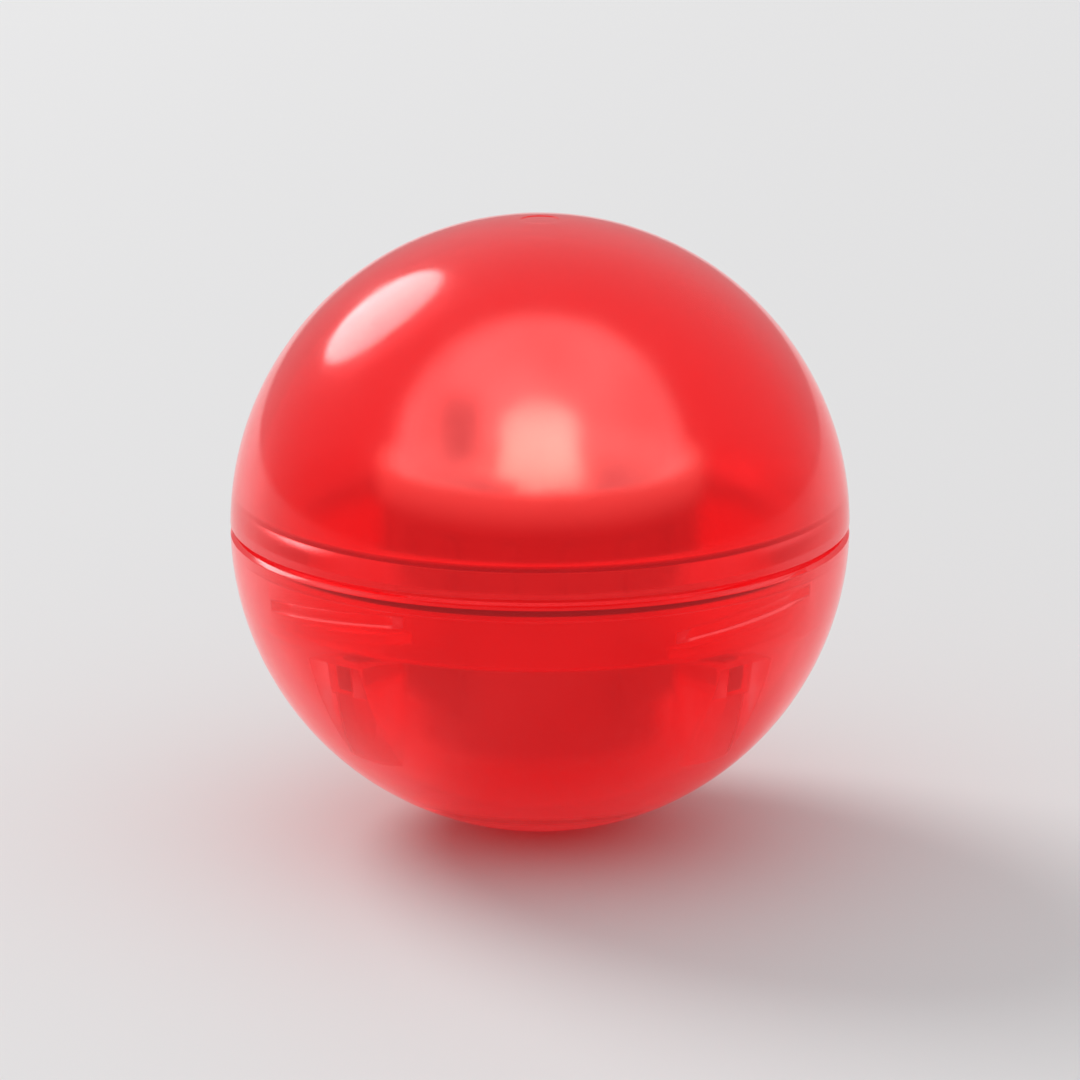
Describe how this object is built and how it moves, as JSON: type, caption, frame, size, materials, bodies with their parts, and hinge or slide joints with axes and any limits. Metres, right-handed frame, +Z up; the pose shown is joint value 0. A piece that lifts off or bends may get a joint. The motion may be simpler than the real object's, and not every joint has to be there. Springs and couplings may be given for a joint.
{
  "type": "light-up cat ball",
  "caption": "Clear red ball that lights up when it rolls: two shells on a quarter-turn thread round a battery tube, a lamp under a frosted dome and a motion switch.",
  "frame": {"origin": "the middle of the ball, on the seam's plane", "axes": "+Z up along the thread's axis, out of the upper shell; +X to the right and +Y away from the viewer in the picture"},
  "size_m": [0.04, 0.04, 0.04],
  "materials": {
    "red_shell": "clear red polycarbonate, polished",
    "seal_rubber": "matt",
    "white_plastic": "satin",
    "nickel": "nickel-plated",
    "nylon": "matt",
    "frosted": "frosted",
    "board": "solder-masked",
    "lens": "clear epoxy",
    "tin": "tinned",
    "glow": "lit",
    "resin": "glossy black resin",
    "ceramic": "fired ceramic"
  },
  "bodies": {
    "lower_shell_set": {"lower_shell": "red_shell", "battery_tube": "white_plastic", "positive_contact": "nickel", "lower_cell_can": "nickel", "lower_cell_gasket": "nylon", "lower_cell_cap": "nickel", "middle_cell_can": "nickel", "middle_cell_gasket": "nylon", "middle_cell_cap": "nickel", "upper_cell_can": "nickel", "upper_cell_gasket": "nylon", "upper_cell_cap": "nickel"},
    "sealing_ring": {"seal_ring": "seal_rubber"},
    "upper_shell_set": {"upper_shell": "red_shell"},
    "battery_spring": {"negative_contact_spring": "nickel"},
    "light_head": {"board_tray": "white_plastic", "diffuser_dome": "frosted", "circuit_board": "board", "lamp_lens": "lens", "lamp_cathode": "tin", "lamp_anode": "tin", "lamp_die": "glow", "switch_base": "white_plastic", "switch_pin": "tin", "chip_resin": "resin", "lamp_resistor": "resin", "timer_resistor": "resin", "capacitor": "ceramic", "transistor": "resin"},
    "sway_coil": {"switch_coil": "nickel"}
  },
  "joints": [
    {"name": "shell_rise", "type": "slide", "parent": "lower_shell_set", "child": "sealing_ring", "axis": [0, 0, 1], "range_m": [0, 0.024]},
    {"name": "shell_unscrew", "type": "hinge", "parent": "sealing_ring", "child": "upper_shell_set", "pos_m": [0, 0, 0], "axis": [0, 0, 1], "range_deg": [0, 900]},
    {"name": "head_rise", "type": "slide", "parent": "lower_shell_set", "child": "battery_spring", "axis": [0, 0, 1], "range_m": [0, 0.0045]},
    {"name": "head_unscrew", "type": "hinge", "parent": "battery_spring", "child": "light_head", "pos_m": [0, 0, 0.002], "axis": [0, 0, 1], "range_deg": [0, 225]},
    {"name": "switch_sway", "type": "hinge", "parent": "light_head", "child": "sway_coil", "pos_m": [-0.005, 0, 0.0041], "axis": [0, 1, 0], "range_deg": [-7.5, 7.5], "stiffness_Nm_per_rad": 0.00002}
  ],
  "couplings": [
    {"joint": "shell_rise", "follows": "shell_unscrew", "m_per_rad": 0.0015279},
    {"joint": "head_rise", "follows": "head_unscrew", "m_per_rad": 0.0011459}
  ]
}
